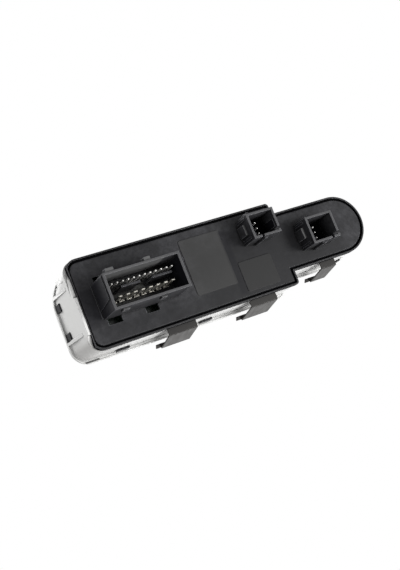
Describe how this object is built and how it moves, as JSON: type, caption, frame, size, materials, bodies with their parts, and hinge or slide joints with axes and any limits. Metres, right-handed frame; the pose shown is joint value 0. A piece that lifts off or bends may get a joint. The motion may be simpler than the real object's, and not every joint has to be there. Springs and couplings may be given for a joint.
{
  "type": "vehicle door window switch unit",
  "caption": "Door switch unit with window rockers, push buttons and a mirror pad in a pale flanged bezel; dark rear cover with box-shaped connector sockets and spring panel clips.",
  "frame": {"origin": "centre of the whole unit's bounding box, clips included", "axes": "+X along the unit from the wide square end to the narrow round end; +Z out of the touch side, so the connector sockets point to -Z; +Y completes the right-handed set, along the width"},
  "size_m": [0.1535, 0.0472, 0.0434],
  "materials": {
    "pale_shell": "fine satin grain, light grey",
    "box_black": "satin black with slight sheen",
    "cover_black": "fine spark-eroded satin black",
    "board_green": "solder-mask gloss",
    "mat_grey": "silicone, matt",
    "pin_tin": "bright tin plate",
    "clip_steel": "dark phosphated spring steel",
    "screw_steel": "zinc plate",
    "chip_black": "moulded epoxy",
    "can_aluminium": "satin can",
    "lamp_white": "clear over white",
    "light_bar_clear": "polished, clear",
    "key_black": "soft satin black",
    "gimbal_white": "natural acetal"
  },
  "bodies": {
    "housing": {"bezel": "pale_shell", "mechanism_box": "box_black", "rear_cover": "cover_black", "circuit_board": "board_green", "contact_mat": "mat_grey", "signal_pins": "pin_tin", "power_blades": "pin_tin", "inner_socket_pins": "pin_tin", "end_socket_pins": "pin_tin", "board_screws": "screw_steel", "wide_clips": "clip_steel", "narrow_clip": "clip_steel", "main_chip": "chip_black", "driver_chips": "chip_black", "capacitors": "can_aluminium", "lamps": "lamp_white", "light_bars": "light_bar_clear"},
    "rocker_rear_low_body": {"rocker_rear_low": "key_black"},
    "rocker_rear_high_body": {"rocker_rear_high": "key_black"},
    "rocker_front_low_body": {"rocker_front_low": "key_black"},
    "rocker_front_high_body": {"rocker_front_high": "key_black"},
    "lock_button_body": {"lock_button": "key_black"},
    "fold_button_body": {"fold_button": "key_black"},
    "selector": {"selector_ring": "key_black"},
    "gimbal_body": {"gimbal": "gimbal_white"},
    "pad": {"mirror_pad": "key_black"}
  },
  "joints": [
    {"name": "rocker_rear_low_tilt", "type": "hinge", "parent": "housing", "child": "rocker_rear_low_body", "pos_m": [-0.04866, -0.0105, 0.0118], "axis": [0, 1, 0], "range_deg": [-7, 7], "stiffness_Nm_per_rad": 0.4},
    {"name": "rocker_rear_high_tilt", "type": "hinge", "parent": "housing", "child": "rocker_rear_high_body", "pos_m": [-0.04866, 0.0063, 0.0118], "axis": [0, 1, 0], "range_deg": [-7, 7], "stiffness_Nm_per_rad": 0.4},
    {"name": "rocker_front_low_tilt", "type": "hinge", "parent": "housing", "child": "rocker_front_low_body", "pos_m": [-0.01866, -0.0105, 0.0118], "axis": [0, 1, 0], "range_deg": [-7, 7], "stiffness_Nm_per_rad": 0.4},
    {"name": "rocker_front_high_tilt", "type": "hinge", "parent": "housing", "child": "rocker_front_high_body", "pos_m": [-0.01866, 0.0063, 0.0118], "axis": [0, 1, 0], "range_deg": [-7, 7], "stiffness_Nm_per_rad": 0.4},
    {"name": "lock_button_press", "type": "slide", "parent": "housing", "child": "lock_button_body", "axis": [0, 0, -1], "range_m": [0, 0.001], "stiffness_N_per_m": 2500},
    {"name": "fold_button_press", "type": "slide", "parent": "housing", "child": "fold_button_body", "axis": [0, 0, -1], "range_m": [0, 0.001], "stiffness_N_per_m": 2500},
    {"name": "selector_turn", "type": "hinge", "parent": "housing", "child": "selector", "pos_m": [0.06104, -0.00258, 0.0163], "axis": [0, 0, 1], "range_deg": [-45, 45]},
    {"name": "mirror_tilt_x", "type": "hinge", "parent": "housing", "child": "gimbal_body", "pos_m": [0.06104, -0.00258, 0.0113], "axis": [1, 0, 0], "range_deg": [-5, 5], "stiffness_Nm_per_rad": 0.3},
    {"name": "mirror_tilt_y", "type": "hinge", "parent": "gimbal_body", "child": "pad", "pos_m": [0.06104, -0.00258, 0.0113], "axis": [0, 1, 0], "range_deg": [-5, 5], "stiffness_Nm_per_rad": 0.3}
  ]
}
